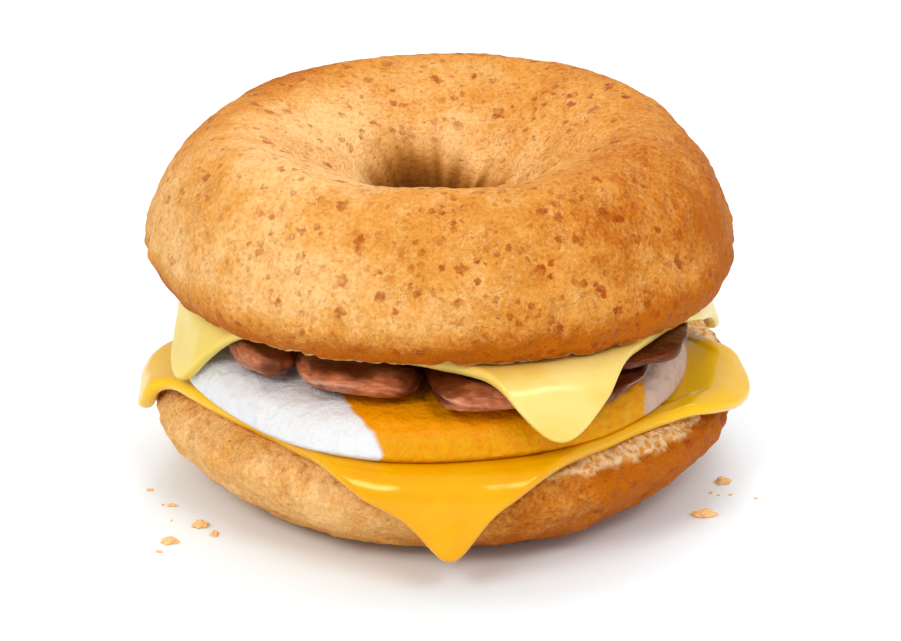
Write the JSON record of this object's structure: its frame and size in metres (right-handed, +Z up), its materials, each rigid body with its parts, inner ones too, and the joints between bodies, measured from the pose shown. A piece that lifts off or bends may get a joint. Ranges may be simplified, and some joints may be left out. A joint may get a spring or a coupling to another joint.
{
  "type": "breakfast sandwich",
  "caption": "Bagel breakfast sandwich: a toasted ring roll split round draped cheddar, a round egg with its yolk, bacon and a paler cheese slice; cheese corners hang over the edge.",
  "frame": {"origin": "centre of the footprint, at the level of the flat underside", "axes": "+Z up through the layers; -Y towards the front, where the yolk and the largest cheese corners show; +X to the right seen from the front"},
  "size_m": [0.1136, 0.1148, 0.0687],
  "materials": {
    "crust": "toasted bread crust",
    "cheddar": "melted, glossy",
    "pale_cheese": "softened, satin",
    "egg_white": "cooked, moist",
    "egg_yolk": "cooked, moist",
    "bacon": "grilled, moist"
  },
  "bodies": {
    "root": {"bagel_bottom": "crust", "cheddar_slice": "cheddar", "egg_white": "egg_white", "egg_yolk": "egg_yolk", "bacon_rasher_1": "bacon", "bacon_rasher_2": "bacon", "bacon_rasher_3": "bacon", "bacon_rasher_4": "bacon", "bacon_rasher_5": "bacon", "pale_cheese_slice": "pale_cheese", "bagel_top": "crust"}
  },
  "joints": []
}
